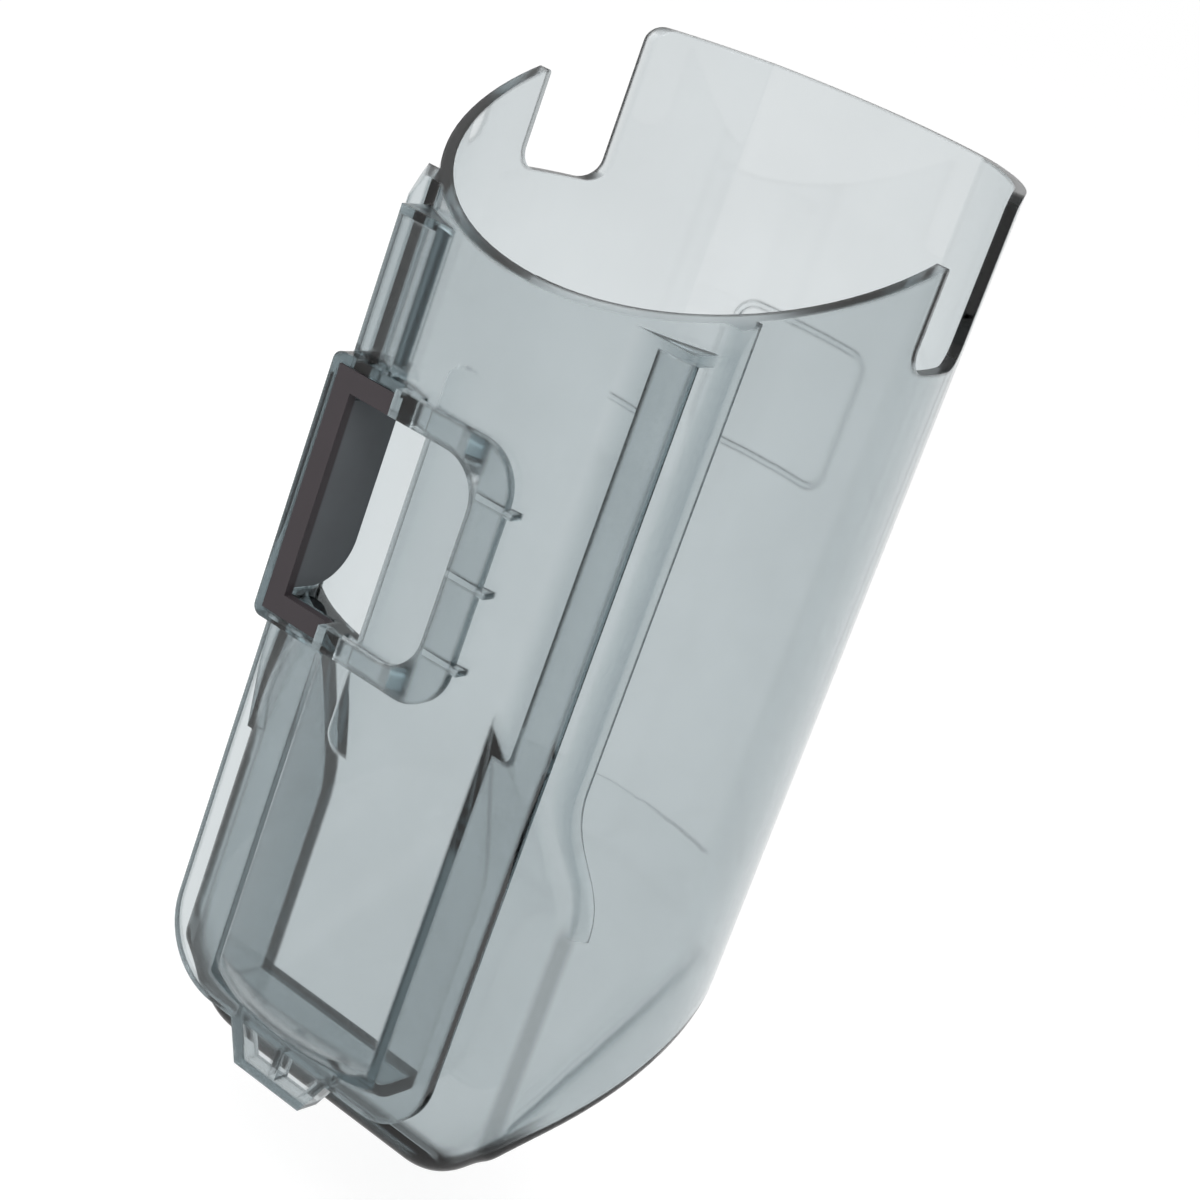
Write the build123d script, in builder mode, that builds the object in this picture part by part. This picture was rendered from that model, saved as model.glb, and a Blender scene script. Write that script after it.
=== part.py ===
from build123d import *
import os
from math import cos, hypot, radians, sin, sqrt, tan

# Clear cyclone dust bin: one moulded bin and the rubber seal of its air inlet.
# +Z runs up the bin's axis. -Y is the machine side, with the guide flange and the inlet.
# A size named *_front is a distance forwards from the axis, so it lies at minus that Y.
# The origin is on the axis, level with the bin's lowest edge.

# Bin wall
bin_radius = 56.0
wall = 2.5
panel_top = 228.6

# Mouth: the near rim is cut on a slant, and a slot each side frees the tall back panel
rim_low = 188.0
right_rim_slope = 0.54
left_rim_slope = 0.451
slot_floor = 192.4
slot_width = 22.5
slot_round = 5.0
right_slot_front = 5.2
left_slot_front = -4.6
panel_corner = 4.0
rim_tip = 0.8

# Dust chamber: the round wall runs down to a slanted trough of a floor. Its front is cut back flat
# either side of the belly, and that flat leans forward above to meet the round wall again
recess_depth = 22.2
recess_bend = 66.4
recess_lean = 0.455
recess_bend_round = 30.0
corner_round = 4.5
floor_angle = 29.0
floor_edge_round = 4.0
trough_margin = 0.85
trough_side = 12.0
trough_height = 11.8
trough_round = 18.0
floor_side_slope = 0.3

# Belly: the round wall left standing in the middle, with its own rounded floor
belly_half = 24.0
belly_floor = 17.6
belly_round = 9.0
belly_lap = 3.0

# Guide flange, and the shelf that stops the guide at its top
barrel_proud = 4.8
flange_thickness = 2.8
flange_half = 37.1
flange_floor = 15.6
flange_top = 188.4
flange_right_round = 13.0
flange_left_round = 17.0
shelf_thickness = 2.4

# Fins behind the flange, which leave a groove for the guide and lead it in from the recess below
groove_width = 5.5
fin_thickness = 3.7
fin_right = 41.2
fin_left = 43.8
fin_foot_half = 48.0
fin_height = 4.4
fin_foot = 66.1
fin_foot_height = 1.0
fin_lead = 32.0
fin_top = 188.0
fin_ramp = 14.0

# Foot catch under the flange
catch_half = 14.0
catch_foot_half = 9.5
catch_floor = 7.0
catch_depth = 6.0
catch_wall = 1.8

# Air inlet
inlet_low = 106.0
inlet_high = 151.4
inlet_right = 5.5
inlet_round = 9.0
inlet_bend = 0.6
frame_rim = 2.2
frame_back = 1.5
frame_depth = 16.5
cheek_width = 5.0
face_proud = 2.2
face_thickness = 2.2
face_margin = 8.0
face_round = 10.0
gusset_count = 3
gusset_pitch = 16.6
gusset_thickness = 1.3
gusset_reach = 1.8
gusset_sink = 0.5
pad_left = 10.5
pad_low = 83.4
pad_high = 167.0
pad_round = 4.0
pad_sink = 0.05

# Inlet seal
seal_left = 36.7
seal_right = 19.4
seal_low = 101.2
seal_high = 154.8
seal_band = 4.6
seal_thickness = 2.3
seal_seat = 2.0
seal_clearance = 0.1
seal_end_round = 1.5
skirt_thickness = 1.5
skirt_reach = 15.0
skirt_gap = 1.6
skirt_round = 10.0

# Back panel: a flatter middle between two creases, and a raised frame round a bare field
back_bulge = 19.0
back_flat = 2.1
crease_half = 27.6
crease_low = 62.0
crease_step = 0.5
field_half = 18.5
field_low = 146.4
field_high = 179.0
field_round = 5.0
bead_width = 1.2
bead_height = 0.5

# Depths forwards, all stepped from the round wall
chamber_front = bin_radius - recess_depth
flange_front = bin_radius - barrel_proud
fin_front = flange_front - flange_thickness - groove_width
frame_front = bin_radius - frame_back
face_front = bin_radius + face_proud

# The trough's sides end just outside the corners where the flat front meets the round wall
front_half = sqrt(bin_radius**2 - chamber_front**2)
trough_top = front_half + trough_margin
trough_half = trough_top - trough_side

# How far cutting shapes reach, and how edges and floor faces are told from others
far = 4 * bin_radius
edge_slack = 0.001
edge_shares = (0.1, 0.5, 0.9)
steepest_floor = -0.5

# The floor plane meets the chamber's front below the lowest point of the rounded edge
floor_rise = tan(radians(floor_angle))
floor_edge = -floor_edge_round * (floor_rise + 1 / cos(radians(floor_angle)) - 1)
floor_run = (0, cos(radians(floor_angle)), sin(radians(floor_angle)))
floor_plane = Plane(origin=(0, -chamber_front, floor_edge), x_dir=(-1, 0, 0), z_dir=floor_run)

# The seal sets the frame round it, and its skirt lies against the air way's left wall
seat_rim = frame_rim + seal_clearance
frame_left = seal_left + seat_rim
frame_span = (seal_low - seat_rim, seal_high + seat_rim)
inlet_left = seal_left - seal_band + skirt_thickness + seal_clearance
cheek_left = seal_right - 2 * seal_clearance
face_span = (seal_low, seal_high + seat_rim)
face_right = inlet_right + face_margin
face_middle = (face_span[0] + face_span[1]) / 2
back_radius = bin_radius + back_bulge
back_centre = (0, bin_radius - back_flat - back_radius)


def at_radius(edge, radius):
    """True where an edge keeps this distance from the bin's axis."""
    spots = [edge @ share for share in edge_shares]
    return all(abs(hypot(spot.X, spot.Y) - radius) < edge_slack for spot in spots)


def in_front(edge, front):
    """True where an edge lies no further back than the chamber's flat front."""
    spots = [edge @ share for share in edge_shares]
    return all(spot.Y < front + edge_slack for spot in spots)


def bounds_once(edge, faces):
    """True where an edge belongs to just one of these faces."""
    return sum(edge in face.edges() for face in faces) == 1


def chamber_form(inset):
    """The round chamber taken in by inset: flat and leaning front, trough floor, rounded edges."""
    front = inset - chamber_front
    lean_step = hypot(1, recess_lean)
    bend = Vector(front, recess_bend + inset * (lean_step - 1) / recess_lean)
    side_top = trough_height + floor_side_slope * (far - trough_top)
    foot = Vector(front, floor_edge + floor_rise * inset + inset / cos(radians(floor_angle)))
    lean_top = bend + Vector(-recess_lean, 1) * 2 * far
    with BuildPart() as chamber:
        with BuildSketch(Plane.XY.offset(-bin_radius)):
            Circle(bin_radius - inset)
        extrude(amount=2 * far)
        with BuildSketch(Plane.YZ) as profile:
            with BuildLine():
                rear = foot + Vector(1, floor_rise) * far
                Polyline(foot, bend, lean_top, (rear.X, lean_top.Y), rear, close=True)
            make_face()
            fillet(profile.vertices().sort_by_distance(bend)[0], recess_bend_round + inset)
            if inset > 0:
                fillet(profile.vertices().sort_by_distance(foot)[0], floor_edge_round)
        extrude(amount=far, both=True, mode=Mode.INTERSECT)
        with BuildSketch(floor_plane) as trough:
            with BuildLine():
                Polyline(
                    (-far, side_top),
                    (-trough_top, trough_height),
                    (-trough_half, 0),
                    (trough_half, 0),
                    (trough_top, trough_height),
                    (far, side_top),
                    (far, 2 * far),
                    (-far, 2 * far),
                    close=True,
                )
            make_face()
            if inset > 0:
                offset(amount=-inset, kind=Kind.INTERSECTION, mode=Mode.REPLACE)
            fillet(trough.vertices().group_by(Axis.Y)[1], trough_round + inset)
            fillet(trough.vertices().group_by(Axis.Y)[0], trough_round - inset)
        extrude(amount=2 * far, both=True, mode=Mode.INTERSECT)
        round_edges = chamber.edges().filter_by(lambda edge: at_radius(edge, bin_radius - inset))
        fillet(round_edges.filter_by(lambda edge: in_front(edge, front)), corner_round)
        if inset == 0:
            floor_faces = chamber.faces().filter_by(lambda face: face.normal_at().Z < steepest_floor)
            floor_loop = [edge for edge in floor_faces.edges() if bounds_once(edge, floor_faces)]
            fillet(floor_loop, floor_edge_round)
    return chamber.part


def bin_form(inset):
    """The whole bin's volume taken in by inset: the chamber and the belly in front of its flat."""
    with BuildPart() as belly:
        with BuildSketch(Plane.XZ):
            with Locations((0, belly_floor + inset)):
                outline = Rectangle(bin_radius - inset, far, align=(Align.MIN, Align.MIN))
            corner = outline.vertices().group_by(Axis.Y)[0].sort_by(Axis.X)[-1]
            fillet(corner, belly_round - inset)
        revolve(axis=Axis.Z)
        with BuildSketch(Plane.XZ.offset(chamber_front - inset - belly_lap)):
            Rectangle(2 * (belly_half - inset), 4 * far)
        extrude(amount=far, mode=Mode.INTERSECT)
    with BuildPart() as form:
        add(chamber_form(inset))
        add(belly.part)
        with BuildSketch(Plane.XY.offset(-bin_radius)):
            with Locations(back_centre):
                Circle(back_radius - inset)
        extrude(amount=2 * far, mode=Mode.INTERSECT)
    return form.part


def front_block(front, depth, sides, heights, left_round, right_round):
    """Block seen from the front and run back by depth, its left and right corners rounded."""
    left, right = sides
    low, high = heights
    with BuildPart() as block:
        with BuildSketch(Plane.XZ.offset(front)) as outline:
            with Locations(((left + right) / 2, (low + high) / 2)):
                Rectangle(right - left, high - low)
            if left_round > 0:
                fillet(outline.vertices().group_by(Axis.X)[0], left_round)
            if right_round > 0:
                fillet(outline.vertices().group_by(Axis.X)[-1], right_round)
        extrude(amount=-depth)
    return block.part


def mouth_cutter(slot_front, rim_slope, reach):
    """What the mouth leaves away on one side: above the slanted rim, the slot and the panel's top."""
    slot_back = slot_front - slot_width
    rim_pivot = bin_radius - wall / 2
    tip = Vector(-slot_front, rim_low + rim_slope * (rim_pivot - slot_front))
    heel = Vector(-slot_back, panel_top)
    with BuildPart() as cutter:
        with BuildSketch(Plane.YZ) as outline:
            with BuildLine():
                Polyline(
                    (-far, rim_low + rim_slope * (rim_pivot - far)),
                    tip,
                    (-slot_front, slot_floor),
                    (-slot_back, slot_floor),
                    heel,
                    (far, panel_top),
                    (far, 2 * far),
                    (-far, 2 * far),
                    close=True,
                )
            make_face()
            slot_span = (slot_floor - edge_slack, slot_floor + edge_slack)
            floor_corners = outline.vertices().filter_by_position(Axis.Y, *slot_span)
            fillet(floor_corners, slot_round)
            fillet(outline.vertices().sort_by_distance(heel)[0], panel_corner)
            fillet(outline.vertices().sort_by_distance(tip)[0], rim_tip)
        extrude(amount=reach)
    return cutter.part


with BuildPart() as mouth:
    add(mouth_cutter(right_slot_front, right_rim_slope, far))
    add(mouth_cutter(left_slot_front, left_rim_slope, -far))

with BuildPart() as field_bead:
    with BuildSketch(Plane.XZ):
        with Locations((0, (field_low + field_high) / 2)):
            RectangleRounded(2 * field_half, field_high - field_low, field_round)
            inner_width = 2 * (field_half - bead_width)
            inner_height = field_high - field_low - 2 * bead_width
            RectangleRounded(inner_width, inner_height, field_round - bead_width, mode=Mode.SUBTRACT)
    extrude(amount=-far)
    with BuildSketch():
        with Locations(back_centre):
            Circle(back_radius + bead_height)
    extrude(amount=far, mode=Mode.INTERSECT)

with BuildPart() as catch:
    with BuildSketch(Plane.XZ.offset(flange_front)):
        with BuildLine():
            Polyline(
                (catch_foot_half, catch_floor),
                (catch_half, flange_floor),
                (catch_half, belly_floor + wall / 2),
                (0, belly_floor + wall / 2),
            )
            Line((catch_foot_half, catch_floor), (0, catch_floor))
            mirror(about=Plane.YZ)
        make_face()
    extrude(amount=-catch_depth)
    with BuildSketch(Plane.XZ.offset(flange_front - catch_wall)):
        with BuildLine():
            Polyline(
                (catch_wall / 2, catch_floor + catch_wall),
                (catch_foot_half - catch_wall, catch_floor + catch_wall),
                (catch_half - 1.5 * catch_wall, flange_floor),
                (catch_wall / 2, flange_floor),
                close=True,
            )
        pocket = make_face()
        mirror(pocket, about=Plane.YZ)
    extrude(amount=-catch_depth, mode=Mode.SUBTRACT)

with BuildPart() as fins:
    lead_end = fin_foot + fin_lead
    fin_end = fin_top + fin_ramp
    with BuildSketch(Plane.YZ):
        with BuildLine():
            face = Spline((-chamber_front, fin_foot), (-fin_front, lead_end), tangents=((0, 1), (0, 1)))
            Polyline(
                face @ 1,
                (-fin_front, fin_end),
                (fin_thickness - fin_front, fin_end),
                (fin_thickness - fin_front, lead_end),
            )
            rear = Spline(
                (fin_thickness - chamber_front, fin_foot),
                (fin_thickness - fin_front, lead_end),
                tangents=((0, 1), (0, 1)),
            )
            Line(face @ 0, rear @ 0)
        make_face()
    extrude(amount=far, both=True)
    with BuildSketch(Plane.XZ):
        with BuildLine():
            Polyline(
                (bin_radius - wall, fin_foot),
                (bin_radius + fin_foot_height, fin_foot),
                (bin_radius + fin_height, lead_end),
                (bin_radius + fin_height, fin_top),
                (bin_radius, fin_end),
                (bin_radius - wall, fin_end),
                close=True,
            )
        make_face()
    revolve(axis=Axis.Z, mode=Mode.INTERSECT)
    with BuildSketch(Plane.XZ):
        with BuildLine():
            right = Spline((fin_foot_half, fin_foot), (fin_right, lead_end), tangents=((0, 1), (0, 1)))
            left = Spline((-fin_foot_half, fin_foot), (-fin_left, lead_end), tangents=((0, 1), (0, 1)))
            Polyline(right @ 1, (fin_right, fin_end), (-fin_left, fin_end), left @ 1)
            Line(right @ 0, left @ 0)
        make_face()
    extrude(amount=far, both=True, mode=Mode.INTERSECT)

with BuildPart() as bin_body:
    add(bin_form(0))
    # guide flange with its foot catch
    with BuildSketch(Plane.XZ.offset(flange_front)) as outline:
        with Locations((0, flange_floor)):
            Rectangle(2 * flange_half, flange_top - flange_floor, align=(Align.CENTER, Align.MIN))
        fillet(outline.vertices().group_by(Axis.Y)[0].sort_by(Axis.X)[-1], flange_right_round)
        fillet(outline.vertices().group_by(Axis.X)[0].sort_by(Axis.Y)[0], flange_left_round)
    extrude(amount=-flange_thickness)
    add(catch.part)
    # shelf from the flange's top back to the fins
    with BuildSketch(Plane.XY.offset(flange_top)):
        with Locations((0, -(flange_front + fin_front) / 2)):
            Rectangle(2 * flange_half, flange_front - fin_front)
    extrude(amount=-shelf_thickness)
    add(fins.part)
    # inlet: seal frame, cheek, face plate, its backing pad and its gussets
    cheek_depth = face_front - frame_front + wall
    cheek_right = cheek_width - cheek_left
    add(front_block(frame_front, frame_depth, (-frame_left, -cheek_left), frame_span, frame_rim, 0))
    add(front_block(face_front, cheek_depth, (-cheek_left, cheek_right), face_span, 0, 0))
    add(front_block(face_front, face_thickness, (-cheek_left, face_right), face_span, 0, face_round))
    add(front_block(bin_radius - pad_sink, wall, (-pad_left, 0), (pad_low, pad_high), pad_round, 0))
    for number in range(gusset_count):
        level = face_middle + (number - (gusset_count - 1) / 2) * gusset_pitch
        with BuildSketch(Plane.XY.offset(level - gusset_thickness / 2)):
            with BuildLine():
                Polyline(
                    (inlet_right, wall - bin_radius),
                    (inlet_right, face_thickness / 2 - face_front),
                    (face_right, face_thickness / 2 - face_front),
                    (face_right, gusset_sink - face_front),
                    (face_right + gusset_reach, gusset_sink - face_front),
                    (face_right + gusset_reach, 2 * wall - bin_radius),
                    close=True,
                )
            make_face()
        extrude(amount=gusset_thickness)
    add(field_bead.part)
    # hollow
    add(bin_form(wall), mode=Mode.SUBTRACT)
    # thinner middle of the back panel, which shows as a crease each side
    with BuildSketch(Plane.XY.offset(crease_low)):
        with Locations(back_centre):
            Circle(back_radius - wall + crease_step)
        with Locations((0, bin_radius)):
            Rectangle(2 * crease_half, bin_radius, mode=Mode.INTERSECT)
    extrude(amount=far, mode=Mode.SUBTRACT)
    # air way and the seal's seat
    way_depth = far - fin_front + 2 * wall
    way_sides = (-inlet_left, -pad_left)
    mouth_depth = far - bin_radius + pad_sink
    mouth_sides = (-inlet_left, inlet_right)
    inlet_span = (inlet_low, inlet_high)
    seat_sides = (-seal_left - seal_clearance, seal_clearance - seal_right)
    seat_span = (seal_low - seal_clearance, seal_high + seal_clearance)
    add(front_block(far, way_depth, way_sides, inlet_span, inlet_bend, inlet_bend), mode=Mode.SUBTRACT)
    add(front_block(far, mouth_depth, mouth_sides, inlet_span, 0, inlet_round), mode=Mode.SUBTRACT)
    add(front_block(frame_front, seal_seat, seat_sides, seat_span, 0, 0), mode=Mode.SUBTRACT)
    # mouth
    add(mouth.part, mode=Mode.SUBTRACT)
bin_body.part.label = "bin_body"

with BuildPart() as inlet_seal:
    seal_back = frame_front - seal_seat
    with BuildSketch(Plane.XZ.offset(seal_back)):
        with BuildLine():
            Polyline(
                (-seal_left, seal_low),
                (-seal_right, seal_low),
                (-seal_right, seal_low + seal_band),
                (seal_band - seal_left, seal_low + seal_band),
                (seal_band - seal_left, seal_high - seal_band),
                (-seal_right, seal_high - seal_band),
                (-seal_right, seal_high),
                (-seal_left, seal_high),
                close=True,
            )
        outline = make_face()
        at_end = outline.vertices().group_by(Axis.X)[-1].sort_by(Axis.Y)
        fillet(at_end[1:3], seal_end_round)
    extrude(amount=seal_thickness)
    with BuildSketch(Plane.YZ.offset(seal_band - seal_left)):
        with Locations((-seal_back + skirt_reach / 2, (seal_low + seal_high) / 2)):
            height = seal_high - seal_low - 2 * seal_band - 2 * skirt_gap
            outline = Rectangle(skirt_reach, height)
        rear = outline.vertices().group_by(Axis.X)[-1].sort_by(Axis.Y)
        fillet(rear[0], skirt_round)
    extrude(amount=-skirt_thickness)
inlet_seal.part.label = "inlet_seal"

os.makedirs("parts", exist_ok=True)
export_step(bin_body.part, "parts/bin_body.step")
export_step(inlet_seal.part, "parts/inlet_seal.step")
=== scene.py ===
import math

import bpy
from mathutils import Matrix, Vector

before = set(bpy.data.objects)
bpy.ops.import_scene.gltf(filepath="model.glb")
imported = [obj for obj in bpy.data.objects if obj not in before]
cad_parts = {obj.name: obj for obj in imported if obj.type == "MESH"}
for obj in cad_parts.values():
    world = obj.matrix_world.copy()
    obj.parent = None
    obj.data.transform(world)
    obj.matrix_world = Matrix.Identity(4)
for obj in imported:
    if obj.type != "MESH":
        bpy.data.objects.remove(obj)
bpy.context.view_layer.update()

# The view, fitted to the photograph: the camera leans over by ROLL, as the bin does in the picture
AZIMUTH = math.radians(31.0005)
ELEVATION = math.radians(18.1389)
ROLL = math.radians(20.0382)
CAMERA_AT = Vector((0.288340, -0.471332, 0.298859))
TO_CAMERA = Vector((
    math.sin(AZIMUTH) * math.cos(ELEVATION),
    -math.cos(AZIMUTH) * math.cos(ELEVATION),
    math.sin(ELEVATION),
))
SENSOR_MM = 36.0
FOCAL_SHARE = 2759.08 / 1200

# Smoke-grey plastic: a tint at each face, and a loss of light per metre that darkens edges
WALL_TINT = (0.860, 0.880, 0.886)
ABSORPTION = (92.0, 79.0, 75.0)
ABSORPTION_DENSITY = 160.0
PLASTIC_IOR = 1.5

# A faint haze varies the plastic's tint and roughness
HAZE_SCALE = 38.0
HAZE_DETAIL = 4.0
HAZE_SPAN = (0.3, 0.7)
HAZE_TINT = (0.96, 1.0)
HAZE_ROUGHNESS = 0.004

# Edges look rounded by this radius, in shading only
EDGE_ROUND = 0.0012
EDGE_SAMPLES = 2

# Painted shade: the upright corners of the flat front are darkened in the base colour, standing in for the
# dark look of a thick, refracting moulded corner
CORNER_X = 0.0444
CORNER_Y = -0.0330
CORNER_SPAN = (0.0008, 0.0028)
CORNER_TOP = (0.064, 0.070)
CORNER_SHADE = 0.5

# Painted shade also darkens a band along the foot of the front, level out to BAND_FLAT and curved up beyond
# it
BAND_FLAT = 0.026
BAND_CURVE = 36.0
BAND_HEIGHT = (0.0036, 0.0050)
BAND_DEPTH = (-0.030, -0.022)
BAND_SHADE = 0.85

# Cut edges of the mouth, told by their height and by how far they face up
RIM_STARTS = 0.186
RIM_FACES_UP = 0.6
RIM_ROUGHNESS = 0.3

# Rubber: a dark lip in front of SKIRT_STARTS, a greyer skirt behind it, and a mottle over both. The skirt
# is the lip's rubber; its lighter grey is painted light, making up for the shade it lies in inside the port
LIP_COLOUR = (0.040, 0.031, 0.036, 1.0)
SKIRT_PAINTED_LIGHT_COLOUR = (0.11, 0.12, 0.13, 1.0)
SKIRT_STARTS = -0.0525
SKIRT_BLEND = 0.0003
RUBBER_ROUGHNESS = 0.55
MOTTLE_SCALE = 120.0
MOTTLE_DETAIL = 3.0
MOTTLE_SHARE = 0.3
MOTTLE_ROUGHNESS = 0.15

# Studio: a white backdrop behind the bin, and a grey room in every other direction
WHITE = (1.0, 1.0, 1.0, 1.0)
WHITE_LEVEL = 1.0
ROOM_LEVEL = 0.7
WORLD_LIGHT = 0.7
BACKDROP_SPAN = (0.2, 0.8)
LIGHT_BOUNCES = 12

# The floor, whose directions are measured from a point low in the bin
FLOOR_SIZE = 12.0
FLOOR_DROP = 0.03
FLOOR_SEEN_FROM = Vector((0, 0, 0.03))
FLOOR_COLOUR = (0.9, 0.9, 0.9, 1.0)
FLOOR_ROUGHNESS = 0.9
FLOOR_GLOW = 0.76
FLOOR_SHADE = 0.34

# Softboxes: the place and the watts of each
LAMPS = {"key": ((0.6, -0.9, 1.1), 9), "fill": ((-1.0, -0.4, 0.7), 5)}
LAMP_SIZE = 0.9
LAMP_AIM = Vector((0, 0, 0.11))

RISING = (0.0, 1.0)
FALLING = (1.0, 0.0)


class Socket:
    """One output of a shader graph. + - * on it add Math nodes, also where a number comes first."""

    def __init__(self, graph, output):
        self.graph = graph
        self.output = output

    def __add__(self, other):
        return self.graph.maths("ADD", self, other)

    def __sub__(self, other):
        return self.graph.maths("SUBTRACT", self, other)

    def __rsub__(self, other):
        return self.graph.maths("SUBTRACT", other, self)

    def __mul__(self, other):
        return self.graph.maths("MULTIPLY", self, other)

    __radd__ = __add__
    __rmul__ = __mul__

    def part(self, axis):
        """One component of a vector: X, Y or Z."""
        return self.graph.node("SeparateXYZ", {"Vector": self}, axis)

    def ramp(self, span, ends, shape="SMOOTHSTEP"):
        """Goes from ends[0] at span[0] to ends[1] at span[1], and stays level outside the span."""
        names = ("From Min", "From Max", "To Min", "To Max")
        sockets = {"Value": self, **dict(zip(names, (*span, *ends)))}
        return self.graph.node("MapRange", sockets, clamp=True, interpolation_type=shape)


class Graph:
    """The shader graph of a material or of the world."""

    def __init__(self, owner):
        owner.use_nodes = True
        self.nodes = owner.node_tree.nodes
        self.links = owner.node_tree.links

    def fill(self, node, sockets):
        """Puts a value or a link into each input of a node that sockets names or numbers."""
        for key, value in sockets.items():
            if isinstance(value, Socket):
                self.links.new(value.output, node.inputs[key])
            else:
                node.inputs[key].default_value = value

    def node(self, kind, sockets, out=0, **settings):
        """Adds a node, makes its settings, fills its inputs and returns its output `out`."""
        made = self.nodes.new("ShaderNode" + kind)
        for name, value in settings.items():
            setattr(made, name, value)
        self.fill(made, sockets)
        return Socket(self, made.outputs[out])

    def maths(self, operation, first, second=0.0):
        return self.node("Math", {0: first, 1: second}, operation=operation)

    def mix_shaders(self, share, first, second):
        """Goes from the first shader to the second as share goes from 0 to 1."""
        return self.node("MixShader", {"Fac": share, 1: first, 2: second})


def new_material(name):
    """A material with its default Principled shader, its graph and its Object coordinates."""
    material = bpy.data.materials.new(name)
    graph = Graph(material)
    return material, graph, graph.node("TexCoord", {}, "Object")


def painted_thick_shade(graph, x, y, z):
    """Painted shade: the share of the base colour left where thick moulding would look dark: 1 on plain
    walls, less in two places.

    The upright corners of the flat front: the distance from a line at |x| = CORNER_X, y = CORNER_Y, up to
    CORNER_TOP. The foot of the front: BAND_HEIGHT above an edge at BAND_CURVE * (|x| - BAND_FLAT)^2.
    """
    side = graph.maths("ABSOLUTE", x)
    across = side - CORNER_X
    along = y - CORNER_Y
    distance = graph.maths("SQRT", across * across + along * along)
    corner = distance.ramp(CORNER_SPAN, FALLING) * z.ramp(CORNER_TOP, FALLING)
    beyond = graph.maths("MAXIMUM", side - BAND_FLAT)
    height = z - beyond * beyond * BAND_CURVE
    band = height.ramp(BAND_HEIGHT, FALLING) * y.ramp(BAND_DEPTH, FALLING)
    return (1 - corner * CORNER_SHADE) * (1 - band * BAND_SHADE)


def clear_plastic():
    """Polished tinted plastic: clear with soft edges, rough where the mouth is cut, absorbing inside, with
    painted shade darkening the front's upright corners and foot.
    """
    material, graph, place = new_material("clear_plastic")
    x, y, z = (place.part(axis) for axis in "XYZ")
    haze = graph.node("TexNoise", {"Vector": place, "Scale": HAZE_SCALE, "Detail": HAZE_DETAIL})
    # The haze's random tone, times painted shade at the front's corners and foot
    haze_tint_and_painted_shade = haze.ramp(HAZE_SPAN, HAZE_TINT, "LINEAR") * painted_thick_shade(graph, x, y, z)
    channels = {channel: haze_tint_and_painted_shade * share for channel, share in enumerate(WALL_TINT)}
    facing = graph.node("NewGeometry", {}, "True Normal")
    faces_up = graph.maths("GREATER_THAN", facing.part("Z"), RIM_FACES_UP)
    is_high = graph.maths("GREATER_THAN", z, RIM_STARTS)
    graph.fill(graph.nodes["Principled BSDF"], {
        "Base Color": graph.node("CombineColor", channels),
        "Roughness": haze * HAZE_ROUGHNESS + faces_up * is_high * RIM_ROUGHNESS,
        "Normal": graph.node("Bevel", {"Radius": EDGE_ROUND}, samples=EDGE_SAMPLES),
        "Transmission Weight": 1.0,
        "IOR": PLASTIC_IOR,
    })
    kept = [1 - rate / ABSORPTION_DENSITY for rate in ABSORPTION]
    volume = graph.node("VolumeAbsorption", {"Color": (*kept, 1.0), "Density": ABSORPTION_DENSITY})
    graph.fill(graph.nodes["Material Output"], {"Volume": volume})
    return material


def seal_rubber():
    """Matte dark rubber, slightly mottled: a brown lip in front, and behind it a skirt of the same rubber
    painted a lighter grey, as painted light.
    """
    material, graph, place = new_material("seal_rubber")
    mottle = graph.node("TexNoise", {"Vector": place, "Scale": MOTTLE_SCALE, "Detail": MOTTLE_DETAIL})
    seam = (SKIRT_STARTS - SKIRT_BLEND, SKIRT_STARTS + SKIRT_BLEND)
    # The skirt's lighter grey is painted light, making up for its shade inside the port
    plain = {"Factor": place.part("Y").ramp(seam, RISING, "LINEAR"), "A": LIP_COLOUR, "B": SKIRT_PAINTED_LIGHT_COLOUR}
    rubber = graph.node("Mix", plain, "Result", data_type="RGBA")
    flecked = {"Factor": MOTTLE_SHARE, "A": rubber, "B": mottle}
    graph.fill(graph.nodes["Principled BSDF"], {
        "Base Color": graph.node("Mix", flecked, "Result", data_type="RGBA", blend_type="MULTIPLY"),
        "Roughness": mottle * MOTTLE_ROUGHNESS + RUBBER_ROUGHNESS,
    })
    return material


def place_camera():
    """Camera with the fitted place, lean and lens."""
    level = Vector((math.cos(AZIMUTH), math.sin(AZIMUTH), 0))
    upright = TO_CAMERA.cross(level)
    right = level * math.cos(ROLL) + upright * math.sin(ROLL)
    up = upright * math.cos(ROLL) - level * math.sin(ROLL)
    data = bpy.data.cameras.new("camera")
    data.sensor_width = SENSOR_MM
    data.lens = SENSOR_MM * FOCAL_SHARE
    camera = bpy.data.objects.new("camera", data)
    turn = Matrix((right, up, TO_CAMERA)).transposed().to_4x4()
    camera.matrix_world = Matrix.Translation(CAMERA_AT) @ turn
    bpy.context.scene.collection.objects.link(camera)
    bpy.context.scene.camera = camera


def seen_share(graph):
    """1 for rays that show the background: from the camera, off a gloss or through the plastic."""
    kinds = ("Is Camera Ray", "Is Glossy Ray", "Is Transmission Ray")
    return graph.node("Clamp", {"Value": sum(graph.node("LightPath", {}, kind) for kind in kinds)})


def backdrop_share(graph, direction):
    """1 where a direction from the bin meets the white backdrop, 0 in the grey room.

    The share rises with the cosine between the unit direction and the line of sight. Rays straight from the
    camera always see white.
    """
    cosine = graph.node("VectorMath", {0: direction, 1: -TO_CAMERA}, "Value", operation="DOT_PRODUCT")
    from_camera = graph.node("LightPath", {}, "Is Camera Ray")
    return graph.node("Clamp", {"Value": cosine.ramp(BACKDROP_SPAN, RISING) + from_camera})


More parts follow.
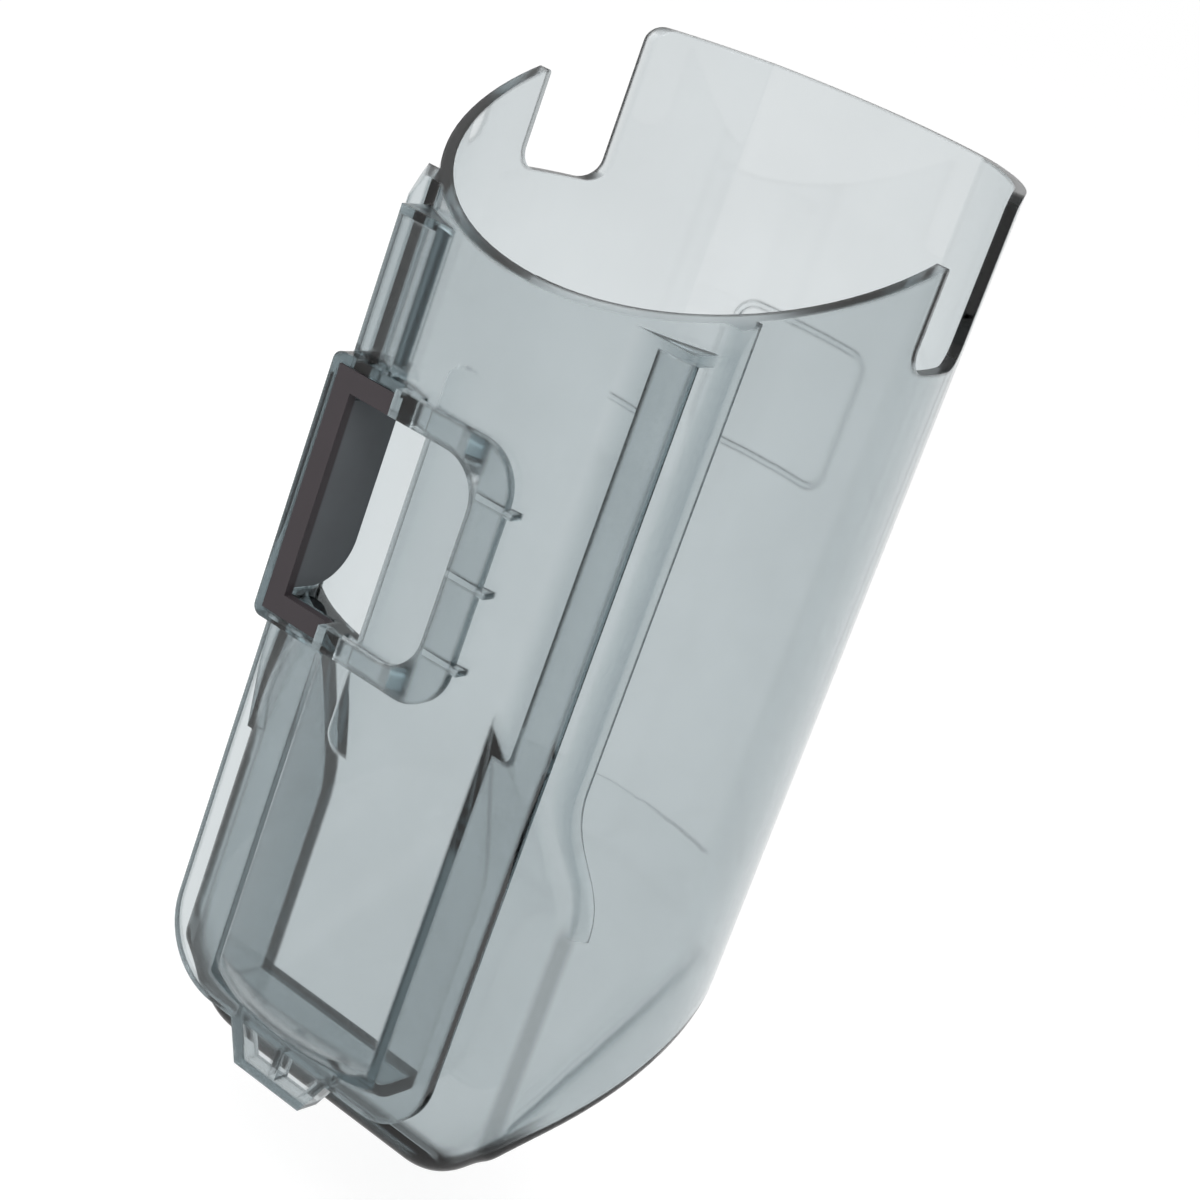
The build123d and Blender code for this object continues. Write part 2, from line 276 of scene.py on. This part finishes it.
def studio_world():
    """Backdrop and room for the rays that show them, and an even white light for all others."""
    world = bpy.data.worlds.new("world")
    bpy.context.scene.world = world
    graph = Graph(world)
    direction = graph.node("TexCoord", {}, "Generated")
    levels = (ROOM_LEVEL, WHITE_LEVEL)
    sides = [graph.node("Background", {"Color": WHITE, "Strength": level}) for level in levels]
    room = graph.mix_shaders(backdrop_share(graph, direction), *sides)
    light = graph.nodes["Background"]
    graph.fill(light, {"Color": WHITE, "Strength": WORLD_LIGHT})
    surface = graph.mix_shaders(seen_share(graph), Socket(graph, light.outputs[0]), room)
    graph.fill(graph.nodes["World Output"], {"Surface": surface})


def floor_paint():
    """Pale matte paint. Seen, it is as white as the backdrop or as grey as the room, less a soft shadow."""
    material, graph, place = new_material("pale_floor")
    paint = graph.nodes["Principled BSDF"]
    graph.fill(paint, {
        "Base Color": FLOOR_COLOUR,
        "Roughness": FLOOR_ROUGHNESS,
        "Specular IOR Level": 0.0,
    })
    away = graph.node("VectorMath", {0: place, 1: FLOOR_SEEN_FROM}, operation="SUBTRACT")
    direction = graph.node("VectorMath", {0: away}, operation="NORMALIZE")
    sides = []
    for level in (ROOM_LEVEL, WHITE_LEVEL):
        glow = graph.node("Emission", {"Strength": FLOOR_GLOW * level})
        shade = graph.node("BsdfDiffuse", {"Color": (*[FLOOR_SHADE * level] * 3, 1.0)})
        sides.append(graph.node("AddShader", {0: glow, 1: shade}))
    room = graph.mix_shaders(backdrop_share(graph, direction), *sides)
    surface = graph.mix_shaders(seen_share(graph), Socket(graph, paint.outputs[0]), room)
    graph.fill(graph.nodes["Material Output"], {"Surface": surface})
    return material


def pale_floor():
    """A wide level square below the bin."""
    half = FLOOR_SIZE / 2
    signs = ((-1, -1), (1, -1), (1, 1), (-1, 1))
    mesh = bpy.data.meshes.new("floor")
    mesh.from_pydata([(half * x, half * y, -FLOOR_DROP) for x, y in signs], [], [(0, 1, 2, 3)])
    mesh.materials.append(floor_paint())
    floor = bpy.data.objects.new("floor", mesh)
    bpy.context.scene.collection.objects.link(floor)


def soft_lamp(name, place, watts):
    """A square softbox at place, turned to the middle of the bin."""
    data = bpy.data.lights.new(name, "AREA")
    data.size = LAMP_SIZE
    data.energy = watts
    lamp = bpy.data.objects.new(name, data)
    turn = (Vector(place) - LAMP_AIM).to_track_quat("Z", "Y")
    lamp.matrix_world = Matrix.Translation(place) @ turn.to_matrix().to_4x4()
    bpy.context.scene.collection.objects.link(lamp)


def dress(node, material):
    """Gives a CAD node its material."""
    node.data.materials.clear()
    node.data.materials.append(material)


dress(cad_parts["bin_body"], clear_plastic())
dress(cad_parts["inlet_seal"], seal_rubber())
place_camera()
studio_world()
pale_floor()
for name, (place, watts) in LAMPS.items():
    soft_lamp(name, place, watts)
bpy.context.scene.view_settings.view_transform = "Standard"
for kind in ("max_bounces", "transmission_bounces", "glossy_bounces"):
    setattr(bpy.context.scene.cycles, kind, LIGHT_BOUNCES)
